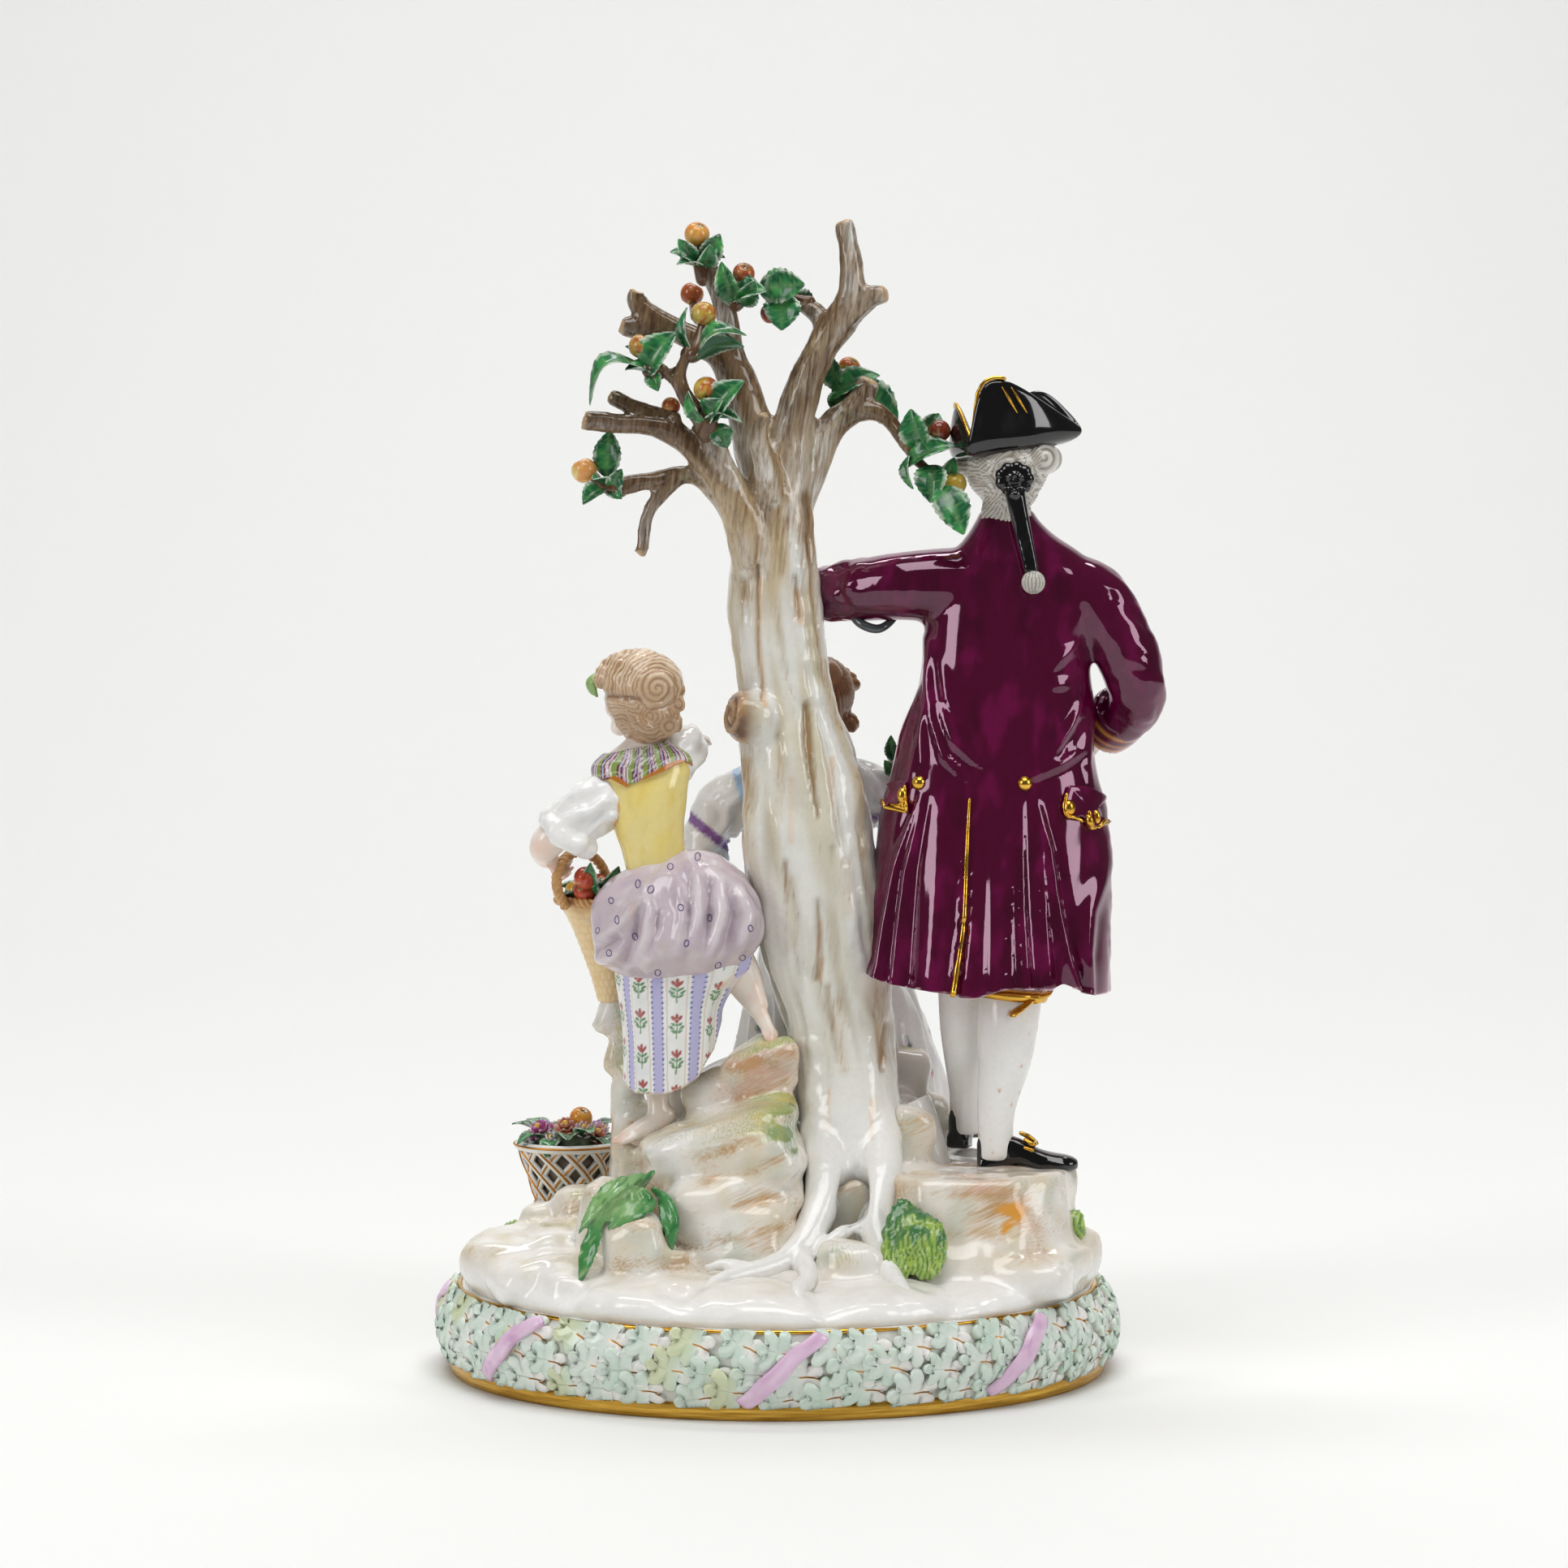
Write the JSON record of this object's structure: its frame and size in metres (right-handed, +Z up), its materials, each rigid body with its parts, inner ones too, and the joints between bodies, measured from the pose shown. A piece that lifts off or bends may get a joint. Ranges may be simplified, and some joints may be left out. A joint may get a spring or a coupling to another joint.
{
  "type": "porcelain figure group",
  "caption": "Glazed porcelain group of a gentleman, a girl and a seated woman picking apples round a tree, on a rock mound with an oval leaf-garland plinth.",
  "frame": {"origin": "centre of the oval foot's underside, where the group stands", "axes": "+Z up; -Y is the back of the group, with the man's and the girl's backs, which the picture shows, +Y is the front, where the woman sits; +X is the man's side"},
  "size_m": [0.181, 0.1534, 0.2797],
  "materials": {
    "white_glaze": "gloss",
    "gilding": "satin",
    "purple_enamel": "gloss",
    "black_enamel": "gloss",
    "brown_enamel": "gloss",
    "green_enamel": "gloss",
    "yellow_enamel": "gloss",
    "lilac_enamel": "gloss",
    "fruit_enamel": "gloss",
    "flesh_enamel": "gloss",
    "celadon_enamel": "gloss"
  },
  "bodies": {
    "root": {"porcelain_group": "white_glaze"}
  },
  "joints": []
}
